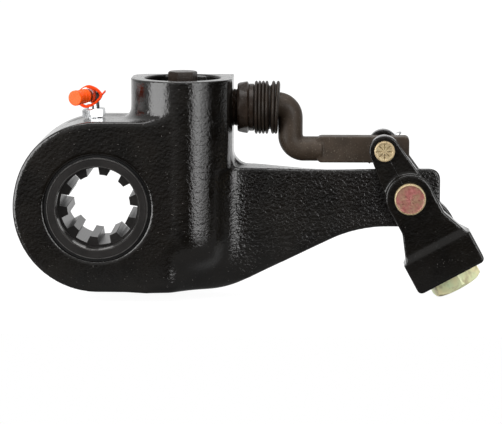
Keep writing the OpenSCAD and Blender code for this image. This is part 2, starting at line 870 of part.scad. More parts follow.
module worm_shaft() {
    color("#6b6d70")
    at_worm() {
        worm_thread();
        rod_z(worm_root_r - 0.2, -worm_half - 2, bearing_low - move_gap);
        rod_z(journal_r, bush_floor + 1, cut - worm_half);
        rod_z(journal_r, worm_half, bearing_high);
        rod_z(shaft_r, bearing_high - cut, collar_high_z + cut / 2);
    }
}

module lower_bush() {
    color("#b08d4a")
    at_worm()
        ring_z(journal_r + lower_bush_wall - seat_fit, journal_r + run_fit, bush_floor, bore_floor);
}

module upper_bearing() {
    color("#8d9094")
    at_worm()
        ring_z(worm_bore_r - seat_fit, journal_r + run_fit, bearing_low, bearing_high);
}

module clutch_hub() {
    color("#77797c")
    at_worm()
        ring_z(clutch_r, shaft_r + seat_fit, clutch_low, clutch_high);
}

// Wrap spring, swept along its helix
module clutch_spring() {
    sides = 6;
    steps = 14;
    coil_r = (clutch_r + seat_fit) / cos(180 / steps) + spring_wire_r;
    low = clutch_low + spring_wire_r;
    rise = (sleeve_high - spring_wire_r - low) / spring_turns;
    count = spring_turns * steps;
    points = [for (i = [0 : count]) for (j = [0 : sides - 1])
        let (a = 360 * i / steps, w = 360 * j / sides, r = coil_r + spring_wire_r * cos(w))
        [r * cos(a), r * sin(a), low + rise * i / steps + spring_wire_r * sin(w)]];
    skin = [for (i = [0 : count - 1]) for (j = [0 : sides - 1]) let (k = (j + 1) % sides)
        [i * sides + j, i * sides + k, (i + 1) * sides + k, (i + 1) * sides + j]];
    ends = [[for (j = [sides - 1 : -1 : 0]) j], [for (j = [0 : sides - 1]) count * sides + j]];
    color("#8a8d90")
    at_worm()
        polyhedron(points, concat([for (f = skin) [f[3], f[2], f[1], f[0]]],
            [for (f = ends) [for (j = [sides - 1 : -1 : 0]) f[j]]]));
}

module pinion() {
    half = rack_pitch * rack_tooth_share / 2;
    slope = tan(pressure_angle);
    foot = half + (pinion_r - pinion_root_r) * slope;
    top = half - (pinion_tip_r - pinion_r) * slope;
    color("#8a7f6a")
    at_worm()
    difference() {
        union() {
            rod_z(pinion_root_r, sleeve_high - cut, pinion_high);
            rod_z(clutch_r - move_gap, sleeve_low, sleeve_high);
            translate([0, 0, pinion_low])
                linear_extrude(pinion_face_w)
                    intersection() {
                        circle(pinion_tip_r);
                        for (i = [0 : pinion_teeth - 1])
                            rotate(90 + i * 360 / pinion_teeth)
                                tooth_plan(pinion_root_r, pinion_tip_r + cut / 4, foot, top);
                    }
        }
        rod_z(shaft_r + run_fit, sleeve_low - cut, pinion_high + cut);
    }
}

module thrust_washer() {
    color("#9a9da0")
    at_worm()
        ring_z(pinion_root_r, shaft_r + seat_fit, pinion_high + move_gap, pinion_high + move_gap + thrust_t);
}

module adjuster_hex() {
    color("#6f675a")
    at_worm()
    difference() {
        union() {
            rod_z(hex_collar_r, collar_low_z, collar_high_z);
            rotate(hex_turn)
                hex_bar(hex_af, collar_high_z - cut, hex_top, 0.5);
        }
        rod_z(shaft_r + seat_fit, collar_low_z - cut, collar_high_z + cut);
    }
}

module top_cover() {
    color("#3c3d3f")
    at_worm()
        ring_z(top_recess_r - seat_fit, hex_collar_r + shaft_seal_w, cover_seat_z, cover_top_z);
}

module shaft_seal() {
    color("#141414")
    at_worm()
        ring_z(hex_collar_r + shaft_seal_w - seat_fit, hex_collar_r + run_fit, cover_seat_z, cover_top_z);
}

module top_retaining_ring() {
    color("#55575a")
    at_worm()
        translate([0, 0, cover_top_z])
            rotate(90)
                retaining_ring(top_recess_r + ring_groove - seat_fit);
}

// Rack
module rack() {
    half = rack_pitch * (1 - rack_tooth_share) / 2;
    slope = tan(pressure_angle);
    depth = rack_dedendum * rack_module;
    valley = [
        [-half - (addendum * rack_module + cut) * slope, rack_tip_y - cut],
        [half + (addendum * rack_module + cut) * slope, rack_tip_y - cut],
        [half - depth * slope, pinion_r + depth],
        [depth * slope - half, pinion_r + depth]
    ];
    color("#85878a")
    difference() {
        at_rack()
            rod_x(rack_r, rack_tail_x, rack_head_x);
        translate([rack_tail_x - cut, rack_y - rack_r - cut, rack_z - rack_r - cut])
            cube([rack_flat_end - rack_tail_x + cut, rack_r + cut + rack_flat, 2 * (rack_r + cut)]);
        for (i = [-4 : 2])
            translate([worm_x + i * rack_pitch, 0, rack_z - rack_r - cut])
                linear_extrude(2 * (rack_r + cut))
                    polygon(valley);
        at_rack() {
            translate([fork_floor, -fork_slot / 2, -rack_r - cut])
                cube([rack_head_x - fork_floor + cut, fork_slot, 2 * (rack_r + cut)]);
            translate([worm_x + rack_pin_x, 0, 0])
                rod_y(rack_pin_r + seat_fit, -rack_r - cut, rack_r + cut);
        }
    }
}

module rack_pin() {
    half = sqrt(pow(rack_r, 2) - pow(rack_pin_r, 2)) - seat_fit;
    color("#9a9da0")
    at_rack()
        translate([worm_x + rack_pin_x, 0, 0])
            rod_y(rack_pin_r, -half, half);
}

// Gland, boot and link
module gland_nut() {
    color("#4a4038")
    at_rack()
    difference() {
        union() {
            rod_x(gland_neck_r - seat_fit, pad_x - gland_thread_len, gland_hex_x + cut);
            translate([gland_hex_x, 0, 0])
                rotate([0, 90, 0])
                    rotate(gland_turn)
                        mirror([0, 0, 1])
                            hex_bar(gland_af, -gland_hex_len, 0, 1);
            rod_x(spigot_r, gland_end - cut, gland_end + spigot_len);
        }
        rod_x(gland_bore_r, pad_x - gland_thread_len - cut, gland_end + spigot_len + cut);
    }
}

// Half section of the boot: cuff, ribs and the lip round the rod, with X along the link
module boot() {
    steps = 2 * boot_ribs;
    valley_r = rib_r - rib_depth;
    lip_r = rod_r + rod_rise + 3 * move_gap;
    cuff_r = spigot_r + cuff_wall;
    outer = [for (i = [0 : steps]) [i % 2 == 0 ? valley_r : rib_r, ribs_x + i * rib_pitch / 2]];
    inner = [for (i = [steps - 1 : -1 : 0]) outer[i] - [boot_wall, 0]];
    color("#222222")
    at_rack()
        rotate([0, 90, 0])
            rotate_extrude()
                polygon(concat(
                    [[spigot_r + seat_fit, gland_end], [cuff_r, gland_end], [cuff_r, ribs_x]], outer,
                    [[lip_r, boot_end], [lip_r, boot_end - boot_wall / 2]], inner,
                    [[spigot_r + seat_fit, ribs_x - boot_wall / 4]]
                ));
}

// One bend of the link rod, from +Z round to +X
module rod_bend() {
    rotate([90, 0, 0])
        rotate_extrude(angle = 90)
            translate([rod_bend_r, 0])
                circle(rod_r);
}

module link_bar_plan() {
    c = bar_corner;
    low = bar_z - bar_h / 2;
    high = bar_z + bar_h / 2;
    polygon(concat(
        arc([bar_start + c, low + c], c, 180, 270, 4), arc([bar_end - c, low + c], c, 270, 360, 4),
        arc([bar_end - c, high - c], c, 0, 90, 4), arc([bar_start + c, high - c], c, 90, 180, 4)
    ));
}

// Inner end of the link: the tongue in the rack's fork and the thinner neck
module link_neck() {
    tongue_r = rod_neck_r - 0.2;
    neck_start = rack_head_x + tongue_room;
    at_rack() {
        translate([tongue_x, 0, 0])
            rod_y(tongue_r, -tongue_t / 2, tongue_t / 2);
        translate([tongue_x, -tongue_t / 2, -tongue_r])
            cube([neck_start + cut - tongue_x, tongue_t, 2 * tongue_r]);
        rod_x(rod_neck_r, neck_start, neck_end + cut);
    }
}

// The round rod, worked from its upper bend: upper run, upright run, lower bend and lower run up to the bar
module link_round() {
    drop = rod_z_high - bar_z - 2 * rod_bend_r;
    upper_run = rod_drop_x - rod_bend_r - neck_end;
    lower_run = bar_start + bar_t / 4 - rod_drop_x - rod_bend_r;
    translate([rod_drop_x, rack_y, rod_z_high - rod_bend_r]) {
        translate([-rod_bend_r, 0, 0]) {
            rod_bend();
            translate([0, 0, rod_bend_r])
                rod_x(rod_r, -upper_run, 0);
        }
        rod_z(rod_r, -drop, 0);
        translate([rod_bend_r, 0, -drop]) {
            rotate([0, 180, 0])
                rod_bend();
            translate([0, 0, -rod_bend_r])
                rod_x(rod_r, 0, lower_run);
        }
    }
}

module link_rod() {
    color("#4b443e")
    difference() {
        union() {
            link_neck();
            link_round();
            slab(rack_y - bar_t / 2, rack_y + bar_t / 2)
                link_bar_plan();
        }
        at_rack()
            translate([tongue_x, 0, 0])
                rod_y(rack_pin_r + rack_play, -tongue_t, tongue_t);
        at_link_pin()
            rod_y(link_pin_r + run_fit, -ear_gap, ear_gap);
    }
}

// Clevis
module main_ear_plan() {
    waist = ear_r - ear_waist_in;
    foot = base_w / 2 - ear_foot_in;
    circle(ear_r);
    polygon([
        [-waist, 0], [-waist, -base_top / 2], [-foot, -base_top - cut],
        [foot, -base_top - cut], [waist, -base_top / 2], [waist, 0]
    ]);
}

module link_ear_plan() {
    root = ear_r - link_ear_in;
    lean = asin((root - link_ear_r) / link_arm);
    side = [cos(lean), sin(lean)];
    translate([0, link_arm])
        circle(link_ear_r);
    polygon([
        [-root * side[0], root * side[1]], [root * side[0], root * side[1]],
        [(link_ear_r - tuck) * side[0], link_arm + link_ear_r * side[1]],
        [(tuck - link_ear_r) * side[0], link_arm + link_ear_r * side[1]]
    ]);
}

module base_plan() {
    half = base_w / 2;
    c = base_corner;
    polygon(concat(
        [[half, -base_top], [-half, -base_top]],
        arc([c - half, c - base_low], c, 180, 270, 6), arc([half - c, c - base_low], c, 270, 360, 6)
    ));
}

// Base block with the bevels above it, seen from the side along X
module base_profile() {
    inner = ear_face - cut;
    top = base_bevel * (1 + cut / base_proud) - base_top;
    polygon([
        [-base_half, -base_low - cut], [base_half, -base_low - cut], [base_half, -base_top],
        [inner, top], [-inner, top], [-base_half, -base_top]
    ]);
}

module base_block() {
    intersection() {
        slab(-base_half - cut, base_half + cut) {
            base_plan();
            main_ear_plan();
        }
        translate([-base_w, 0, 0])
            rotate([90, 0, 90])
                linear_extrude(2 * base_w)
                    base_profile();
    }
}

module clevis() {
    color("#1d1d1e")
    at_clevis()
    difference() {
        union() {
            for (side = [0, 1])
                mirror([0, side, 0]) {
                    slab(gap_half, ear_face)
                        main_ear_plan();
                    slab(gap_half, link_face)
                        link_ear_plan();
                }
            base_block();
        }
        translate([-base_w, -gap_half, -slot_depth])
            cube([2 * base_w, ear_gap, base_low]);
        rod_y(clevis_pin_r + seat_fit, -base_half - cut, base_half + cut);
        translate([0, 0, link_arm])
            rod_y(link_pin_r + seat_fit, -base_half - cut, base_half + cut);
        rod_z(collar_r + run_fit, -base_low - cut, -slot_depth + cut);
    }
}

// Pin with a domed head in front and a cotter hole at the back
module headed_pin(r, head_r, head_t, face, tail) {
    edge = 0.6;
    difference() {
        union() {
            rod_y(r, -face - head_t / 2, tail - edge);
            translate([0, tail - edge, 0])
                rotate([-90, 0, 0])
                    cylinder(r1 = r, r2 = r - edge, h = edge);
            rod_y(head_r, edge - face - head_t, -face);
            translate([0, edge - face - head_t, 0])
                rotate([90, 0, 0])
                    cylinder(r1 = head_r, r2 = head_r - edge, h = edge);
        }
        translate([0, tail - pin_tail / 2, 0])
            rod_x(cotter_r + seat_fit, -head_r, head_r);
    }
}

module clevis_pin() {
    color("#c9a58c")
    at_clevis()
        headed_pin(clevis_pin_r, clevis_head_r, clevis_head_t, ear_face, clevis_tail);
}

module link_pin() {
    color("#c8c0a4")
    at_link_pin()
        headed_pin(link_pin_r, link_head_r, link_head_t, link_face, link_tail);
}

module link_spacer() {
    color("#8d9094")
    at_link_pin()
        ring_y(link_pin_r + spacer_wall, link_pin_r + seat_fit, -gap_half, rack_y - bar_t / 2 - move_gap);
}

module clevis_washer() {
    color("#b8b08c")
    at_clevis()
        ring_y(clevis_pin_r + washer_w, clevis_pin_r + seat_fit, ear_face, ear_face + washer_t);
}

module link_washer() {
    color("#b8b08c")
    at_link_pin()
        ring_y(link_pin_r + link_washer_w, link_pin_r + seat_fit, link_face, link_face + washer_t);
}

// Split cotter through a pin: eye on one side, legs bent open on the other
module cotter(pin_r, at) {
    eye_r = 1.6 * cotter_r;
    wire = cotter_r / 2;
    leg = 6 * cotter_r;
    translate([0, at, 0]) {
        rod_x(cotter_r, -pin_r - cotter_r, pin_r + cotter_r);
        translate([pin_r + cotter_r + eye_r, 0, 0])
            rotate_extrude()
                translate([eye_r, 0])
                    circle(wire);
        for (side = [-1, 1])
            translate([-pin_r - cotter_r + wire, 0, side * wire])
                rotate([0, side * 40 - 90, 0])
                    rod_z(wire, 0, leg);
    }
}

module clevis_cotter() {
    color("#a7a9ab")
    at_clevis()
        cotter(clevis_pin_r, clevis_tail - pin_tail / 2);
}

module link_cotter() {
    color("#a7a9ab")
    at_link_pin()
        cotter(link_pin_r, link_tail - pin_tail / 2);
}

module push_rod_collar() {
    hex_at = base_low + move_gap;
    color("#c9c98a")
    at_clevis()
    difference() {
        union() {
            rod_z(collar_r, -hex_at - cut, -slot_depth - collar_in);
            mirror([0, 0, 1])
                rotate(collar_turn - 90)
                    hex_bar(collar_af, hex_at, hex_at + collar_h, collar_chamfer);
        }
        rod_z(rod_hole_r, -hex_at - collar_h - cut, cut - slot_depth);
    }
}

// Grease fitting
module grease_fitting() {
    color("#b9bcbf")
    union() {
        at_fitting() {
            rod_z(stem_hole_r - seat_fit, chamber_r - nose_r + 1, cut / 2);
            rotate(fitting_turn)
                hex_bar(fitting_af, move_gap, fitting_hex_h, fitting_thread);
            rod_z(fitting_stem_r, fitting_hex_h - cut, elbow_h);
            translate([0, 0, elbow_h])
                sphere(nipple_neck_r + tuck);
        }
        at_nipple() {
            rod_z(nipple_neck_r, 0, nipple_neck_len);
            rod_z(nipple_r, nipple_neck_len - cut, nipple_len);
        }
    }
}

module grease_cap() {
    color("#f0501e")
    at_nipple()
    difference() {
        union() {
            rod_z(cap_sleeve_r, cap_start, cap_disc_at + cut);
            rod_z(cap_disc_r, cap_disc_at, cap_disc_at + cap_disc_t);
        }
        rod_z(cap_bore_r, cap_start - cut, cap_bore_end);
    }
}

// Strap: ring round the nipple's neck, pull tab, and a strip that reaches to the cap's disc
module cap_strap() {
    outer = strap_in_r + strap_w;
    color("#f0501e")
    at_nipple() {
        ring_z(outer, strap_in_r, strap_at, strap_at + strap_t);
        rotate(120)
            translate([strap_in_r + strap_w / 2, -strap_t / 2, strap_at])
                cube([2 * strap_w, strap_t, strap_t]);
        rotate(200)
            translate([strap_in_r + strap_w / 4, -strap_t, strap_at])
                cube([strap_w / 2, 2 * strap_t, cap_disc_at - move_gap - strap_at]);
    }
}

housing();
arm_bush();
worm_wheel();
wheel_seal_front();
wheel_seal_rear();
rear_cover();
rear_retaining_ring();
worm_shaft();
lower_bush();
upper_bearing();
clutch_hub();
clutch_spring();
pinion();
thrust_washer();
adjuster_hex();
top_cover();
shaft_seal();
top_retaining_ring();
rack();
rack_pin();
gland_nut();
boot();
link_rod();
clevis();
clevis_pin();
link_pin();
link_spacer();
clevis_washer();
link_washer();
clevis_cotter();
link_cotter();
push_rod_collar();
grease_fitting();
grease_cap();
cap_strap();
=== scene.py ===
import json
import math

import bmesh
import bpy
import numpy as np
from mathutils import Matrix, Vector

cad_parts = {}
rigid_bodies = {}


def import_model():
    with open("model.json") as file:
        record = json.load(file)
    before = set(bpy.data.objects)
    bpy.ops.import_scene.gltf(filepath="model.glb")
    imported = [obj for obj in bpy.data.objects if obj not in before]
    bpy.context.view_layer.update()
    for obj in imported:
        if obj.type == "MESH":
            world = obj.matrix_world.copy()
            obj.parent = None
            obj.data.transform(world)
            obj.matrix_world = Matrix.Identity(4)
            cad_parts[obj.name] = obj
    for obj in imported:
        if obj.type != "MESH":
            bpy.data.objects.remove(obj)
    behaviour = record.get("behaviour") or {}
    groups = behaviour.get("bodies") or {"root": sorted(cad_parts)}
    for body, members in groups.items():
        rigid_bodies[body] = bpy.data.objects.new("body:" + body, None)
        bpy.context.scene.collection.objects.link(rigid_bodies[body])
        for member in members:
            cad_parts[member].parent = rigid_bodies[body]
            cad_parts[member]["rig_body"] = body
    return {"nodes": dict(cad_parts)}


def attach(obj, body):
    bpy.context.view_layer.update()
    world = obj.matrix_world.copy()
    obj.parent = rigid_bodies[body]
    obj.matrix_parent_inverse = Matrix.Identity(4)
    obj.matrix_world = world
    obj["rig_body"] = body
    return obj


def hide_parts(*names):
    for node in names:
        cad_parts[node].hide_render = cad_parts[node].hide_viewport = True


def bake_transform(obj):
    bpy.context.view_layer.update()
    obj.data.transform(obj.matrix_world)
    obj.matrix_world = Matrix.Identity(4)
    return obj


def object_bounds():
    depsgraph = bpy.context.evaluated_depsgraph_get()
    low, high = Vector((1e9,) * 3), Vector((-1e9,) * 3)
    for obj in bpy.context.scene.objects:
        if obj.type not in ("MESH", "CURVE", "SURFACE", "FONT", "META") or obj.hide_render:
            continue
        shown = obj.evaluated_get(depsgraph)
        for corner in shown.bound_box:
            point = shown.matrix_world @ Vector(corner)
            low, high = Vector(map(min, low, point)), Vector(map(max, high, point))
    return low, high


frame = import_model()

cad_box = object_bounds()
nodes = frame["nodes"]
scene = bpy.context.scene
scene.view_settings.view_transform = "Standard"
MM = 0.001

# Main places in the shared frame, in millimetres
ALONG_X, ALONG_Y, UP, DOWN = (1, 0, 0), (0, 1, 0), (0, 0, 1), (0, 0, -1)
WORM_X = 40.722
PAD_X = 65.422
NOSE_R = 42.357
BARREL_R, BARREL_TOP = 25.435, 61.9
ARM_TOP = 18.3
HUB_R, HUB_FRONT = 24.9, -25.235
RECESS_R, RECESS_END = 20.3, -15.8
RACK_Y, RACK_Z, RACK_BORE_R = 4.3, 46.8, 7.4
RACK_AXIS = Vector((0, RACK_Y, RACK_Z))
PIN = Vector((152.4, 0, 4.6))
TILT = math.radians(28.5)
CLEVIS_DOWN = Vector((math.sin(TILT), 0, -math.cos(TILT)))
CLEVIS_ACROSS = Vector((math.cos(TILT), 0, math.sin(TILT)))
PIN_SPACING = 26.2
LINK_PIN = PIN - PIN_SPACING * CLEVIS_DOWN
BOSS_FACE, EAR_FACE = -19.3, -16.8
FITTING_TILT, NIPPLE_TURN = math.radians(4.2), math.radians(243)
FITTING_UP = Vector((-math.sin(FITTING_TILT), 0, math.cos(FITTING_TILT)))
NIPPLE = Vector((math.cos(NIPPLE_TURN) * math.cos(FITTING_TILT), math.sin(NIPPLE_TURN),
                 math.cos(NIPPLE_TURN) * math.sin(FITTING_TILT)))
ELBOW_HEIGHT = 11.2
ELBOW = (NOSE_R + ELBOW_HEIGHT) * FITTING_UP
CORE_R = 0.02  # radius of the tiny hole along the middle of a solid turned piece


# Camera
def aim(obj, at):
    obj.rotation_mode = "QUATERNION"
    obj.rotation_quaternion = (Vector(at) - obj.location).to_track_quat("-Z", "Y")


def make_camera():
    yaw, rise, away = math.radians(1.583), math.radians(8.389), 1.23328
    target = Vector((0.074362, 0, -0.004971))
    sensor, focal_px, photo_px = 36, 2486.4, 502
    data = bpy.data.cameras.new("camera")
    data.sensor_width = sensor
    data.lens = focal_px / photo_px * sensor
    data.clip_start, data.clip_end = 0.05, 20
    cam = bpy.data.objects.new("camera", data)
    scene.collection.objects.link(cam)
    level = Vector((math.sin(yaw), -math.cos(yaw), 0))
    cam.location = target + away * (math.cos(rise) * level + math.sin(rise) * Vector(UP))
    aim(cam, target)
    scene.camera = cam


make_camera()


# Materials
class NodeTree:
    """Short calls for building the node tree of a material or world."""

    def __init__(self, owner):
        owner.use_nodes = True
        self.tree = owner.node_tree
        self.tree.nodes.clear()

    def put(self, value, socket):
        """Links an output to a socket, or sets the socket's constant."""
        if isinstance(value, bpy.types.NodeSocket):
            self.tree.links.new(value, socket)
        else:
            socket.default_value = value

    def add(self, kind, **inputs):
        """Adds a node; the inputs are named with _ for a blank."""
        node = self.tree.nodes.new("ShaderNode" + kind)
        for key, value in inputs.items():
            self.put(value, node.inputs[key.replace("_", " ")])
        return node

    def operate(self, kind, operation, *values):
        node = self.add(kind)
        node.operation = operation
        for value, socket in zip(values, node.inputs):
            self.put(value, socket)
        return node

    def math(self, operation, a, b):
        return self.operate("Math", operation, a, b).outputs["Value"]

    def span(self, value, low, high, to_low=0.0, to_high=1.0, smooth=False):
        """Maps low to high onto to_low to to_high, and stays within them."""
        node = self.add("MapRange", Value=value, From_Min=low, From_Max=high, To_Min=to_low, To_Max=to_high)
        if smooth:
            node.interpolation_type = "SMOOTHSTEP"
        return node.outputs["Result"]

    def mix(self, factor, a, b):
        """Mixes two colours, each an output or three numbers."""
        color_a, color_b, color_out = 6, 7, 2
        node = self.add("Mix")
        node.data_type = "RGBA"
        self.put(factor, node.inputs["Factor"])
        for i, v in ((color_a, a), (color_b, b)):
            self.put((*v, 1) if isinstance(v, tuple) else v, node.inputs[i])
        return node.outputs[color_out]


class Finish(NodeTree):
    """A procedural material: one principled shader with textures in object space, in metres."""

    def __init__(self, name, color, rough, metal=0.0, shine=0.5):
        self.mat = bpy.data.materials.new(name)
        super().__init__(self.mat)
        out = self.add("OutputMaterial")
        self.shader = self.add("BsdfPrincipled", Base_Color=(*color, 1), Roughness=rough, Metallic=metal,
                               Specular_IOR_Level=shine)
        self.put(self.shader.outputs["BSDF"], out.inputs["Surface"])
        self.coords = self.add("TexCoord").outputs["Object"]
        self.bumped = None

    def noise(self, scale, detail):
        """Noise value with features of about 1/scale metres."""
        return self.add("TexNoise", Scale=scale, Detail=detail, Vector=self.coords).outputs["Fac"]

    def lathe_marks(self, axis, scale):
        """Noise that changes only with the distance from an axis through the origin, as turning marks do."""
        cross = self.operate("VectorMath", "CROSS_PRODUCT", self.coords, axis).outputs["Vector"]
        distance = self.operate("VectorMath", "LENGTH", cross).outputs["Value"]
        tex = self.add("TexNoise", Scale=scale, Detail=2)
        tex.noise_dimensions = "1D"
        self.put(distance, tex.inputs["W"])
        return tex.outputs["Fac"]

    def axis(self, letter):
        return self.add("SeparateXYZ", Vector=self.coords).outputs[letter]

    def color(self, value):
        self.put(value, self.shader.inputs["Base Color"])

    def rough(self, value):
        self.put(value, self.shader.inputs["Roughness"])

    def bump(self, height, depth):
        """Adds a bump whose height 0 to 1 stands for depth metres."""
        node = self.add("Bump", Distance=depth, Height=height)
        if self.bumped:
            self.put(self.bumped, node.inputs["Normal"])
        self.bumped = node.outputs["Normal"]
        self.put(self.bumped, self.shader.inputs["Normal"])


# Parts of the noise's range that textures use, and the depth of a fine grain in metres
SOFT, WIDE = (0.35, 0.65), (0.3, 0.7)
FINE = 0.00003


def scaled(color, factor):
    return tuple(c * factor for c in color)


def cast_paint(name, shine, coarse_depth, fine_depth, calm=None):
    """Glossy black paint on cast skin; calm is the share of the coarse skin's depth away from the arm."""
    patch, speck, gloss, skin, grain = 70, 1250, 160, 690, 1700
    dark, light, dust = (0.0023, 0.0019, 0.0015), (0.005, 0.0041, 0.0032), (0.08, 0.076, 0.07)
    f = Finish(name, (0.005, 0.0047, 0.0044), 0.12, shine=shine)
    base = f.mix(f.span(f.noise(patch, 4), *SOFT), dark, light)
    f.color(f.mix(f.span(f.noise(speck, 1), 0.73, 0.81), base, dust))
    f.rough(f.span(f.noise(gloss, 3), *WIDE, 0.09, 0.2))
    coarse = f.noise(skin, 2.5)
    if calm:
        past_barrel = f.span(f.axis("X"), 0.060, 0.070)
        below_top = f.span(f.axis("Z"), 0.019, 0.024, 1.0, 0.0)
        arm = f.math("MULTIPLY", past_barrel, below_top)
        coarse = f.math("MULTIPLY", coarse, f.span(arm, 0, 1, calm, 1.0))
    f.bump(coarse, coarse_depth)
    f.bump(f.noise(grain, 2), fine_depth)
    return f.mat


def turned_steel(name, color, rough, metal, axis, wear):
    """Metal with turning marks round an axis; wear is how much darker its patches are."""
    patch, groove, groove_depth, sway = 90, 2200, 0.00004, 0.08
    f = Finish(name, color, rough, metal)
    marks = f.lathe_marks(axis, groove)
    f.color(f.mix(f.span(f.noise(patch, 4), *SOFT), scaled(color, 1 - wear), color))
    f.rough(f.span(marks, *WIDE, rough - sway, rough + sway))
    f.bump(marks, groove_depth)
    return f.mat


def plain_metal(name, color, rough, metal, spread=0.2, patch=120, grain=900, depth=FINE, glint=None,
                shine=0.5):
    """Metal with darker patches, a fine grain and, if given, small glints of another colour."""
    glint_scale, sway = 1500, 0.08
    f = Finish(name, color, rough, metal, shine)
    tone = f.mix(f.span(f.noise(patch, 4), *SOFT), scaled(color, 1 - spread), color)
    if glint:
        tone = f.mix(f.span(f.noise(glint_scale, 1), 0.66, 0.74), tone, glint)
    f.color(tone)
    f.rough(f.span(f.noise(patch * 2, 3), *WIDE, rough - sway, rough + sway))
    f.bump(f.noise(grain, 2), depth)
    return f.mat


def yellow_zinc(name, warm, green, rough=0.34, patch=95, metal=0.25):
    """Passivated zinc that shifts between two hues, with darker stains."""
    gloss, grain, stained = 300, 1500, 0.6
    f = Finish(name, warm, rough, metal)
    hue = f.span(f.noise(patch, 3), 0.38, 0.62)
    stain = f.span(f.noise(2.7 * patch, 4), 0.52, 0.7)
    f.color(f.mix(stain, f.mix(hue, warm, green), scaled(warm, stained)))
    f.rough(f.span(f.noise(gloss, 3), *WIDE, rough - 0.1, rough + 0.12))
    f.bump(f.noise(grain, 2), FINE)
    return f.mat


def rubber(name, color, rough, shine):
    """Rubber with paler, dusty patches."""
    patch, gloss, grain, dusty, sway = 140, 300, 2200, 1.9, 0.1
    f = Finish(name, color, rough, shine=shine)
    f.color(f.mix(f.span(f.noise(patch, 4), 0.35, 0.7), color, scaled(color, dusty)))
    f.rough(f.span(f.noise(gloss, 3), *WIDE, rough - sway, rough + sway))
    f.bump(f.noise(grain, 2), FINE)
    return f.mat


def plastic(name, color):
    """Moulded plastic with slightly darker patches."""
    patch, gloss, grain, darker = 180, 600, 1800, 0.86
    f = Finish(name, color, 0.35, shine=0.15)
    f.color(f.mix(f.span(f.noise(patch, 3), *WIDE), scaled(color, darker), color))
    f.rough(f.span(f.noise(gloss, 2), *WIDE, 0.28, 0.42))
    f.bump(f.noise(grain, 2), FINE)
    return f.mat


PAINT = cast_paint("gloss_black_cast_paint", 0.5, 0.0004, 0.00004, calm=0.36)
CLEVIS_PAINT = cast_paint("clevis_black_cast_paint", 0.38, 0.00012, 0.00005)
OXIDE = turned_steel("black_oxide", (0.024, 0.022, 0.021), 0.36, 0.6, ALONG_Y, wear=0.4)
# Lighter metal whose colour paints the highlight lines on the hub's chamfers
HIGHLIGHT_EDGE = plain_metal("painted_highlight_edge", (0.16, 0.155, 0.15), 0.3, 0.9)
STEEL = plain_metal("machined_steel", (0.42, 0.42, 0.42), 0.32, 1.0)
SPRING = plain_metal("spring_steel", (0.16, 0.165, 0.17), 0.35, 1.0)
PHOSPHATE = plain_metal("brown_phosphate", (0.019, 0.0118, 0.0078), 0.32, 0.1, spread=0.3, patch=160,
                        grain=1400, depth=0.00006, glint=(0.06, 0.053, 0.046), shine=0.26)
LINK_STEEL = plain_metal("phosphated_link_steel", (0.038, 0.0265, 0.0178), 0.5, 0.0, spread=0.3, patch=130,
                         grain=1100, depth=0.00008, glint=(0.1, 0.083, 0.066), shine=0.24)
BRONZE = plain_metal("sintered_bronze", (0.50, 0.36, 0.16), 0.4, 1.0)
RUBBER = rubber("seal_rubber", (0.003, 0.003, 0.003), 0.6, 0.15)
BOOT_RUBBER = rubber("boot_rubber", (0.0115, 0.008, 0.0055), 0.45, 0.24)
ZINC = plain_metal("bright_zinc", (0.62, 0.63, 0.64), 0.24, 1.0, spread=0.25)
YELLOW = yellow_zinc("yellow_zinc", (0.95, 0.86, 0.5), (0.8, 0.89, 0.54), metal=0.05)
PIN_FINISH = yellow_zinc("pink_zinc", (0.29, 0.095, 0.085), (0.25, 0.14, 0.09), rough=0.4, patch=330)
CREAM = yellow_zinc("cream_zinc", (0.44, 0.33, 0.19), (0.37, 0.30, 0.17), rough=0.36, patch=260)
ORANGE = plastic("orange_plastic", (0.90, 0.088, 0.005))
STRAP = plastic("strap_plastic", (0.88, 0.055, 0.003))

LOOKS = {
    "housing": PAINT, "clevis": CLEVIS_PAINT, "arm_bush": BRONZE, "lower_bush": BRONZE,
    "worm_wheel": OXIDE, "rear_cover": OXIDE, "top_cover": OXIDE,
    "rear_retaining_ring": SPRING, "top_retaining_ring": SPRING, "clutch_spring": SPRING,
    "worm_shaft": STEEL, "upper_bearing": STEEL, "clutch_hub": STEEL, "pinion": STEEL,
    "thrust_washer": STEEL, "rack": STEEL, "rack_pin": STEEL, "link_spacer": STEEL,
    "adjuster_hex": PHOSPHATE, "gland_nut": PHOSPHATE, "link_rod": LINK_STEEL,
    "wheel_seal_front": RUBBER, "wheel_seal_rear": RUBBER, "shaft_seal": RUBBER, "boot": BOOT_RUBBER,
    "clevis_pin": PIN_FINISH, "link_pin": CREAM, "clevis_washer": YELLOW, "link_washer": YELLOW,
    "push_rod_collar": YELLOW, "clevis_cotter": ZINC, "link_cotter": ZINC, "grease_fitting": ZINC,
    "grease_cap": ORANGE, "cap_strap": STRAP,
}


def paint(obj, mat):
    obj.data.materials.clear()
    obj.data.materials.append(mat)


for name, obj in nodes.items():
    paint(obj, LOOKS[name])


# Castings and link: rounded copies of CAD nodes
def new_object(name, mesh):
    obj = bpy.data.objects.new(name, mesh)
    scene.collection.objects.link(obj)
    return obj


def smooth_faces(mesh):
    mesh.polygons.foreach_set("use_smooth", np.ones(len(mesh.polygons), bool))


def remeshed(node, name, voxel):
    """An object with a voxel remesh of a CAD node; voxel is in mm."""
    mesh = nodes[node].data.copy()
    bm = bmesh.new()
    bm.from_mesh(mesh)
    bmesh.ops.remove_doubles(bm, verts=bm.verts, dist=1e-6)
    bm.to_mesh(mesh)
    bm.free()
    obj = new_object(name, mesh)
    mod = obj.modifiers.new("remesh", "REMESH")
    mod.mode = "VOXEL"
    mod.voxel_size = voxel * MM
    evaluated = obj.evaluated_get(bpy.context.evaluated_depsgraph_get())
    made = bpy.data.meshes.new_from_object(evaluated)
    obj.modifiers.clear()
    obj.data = made
    return obj


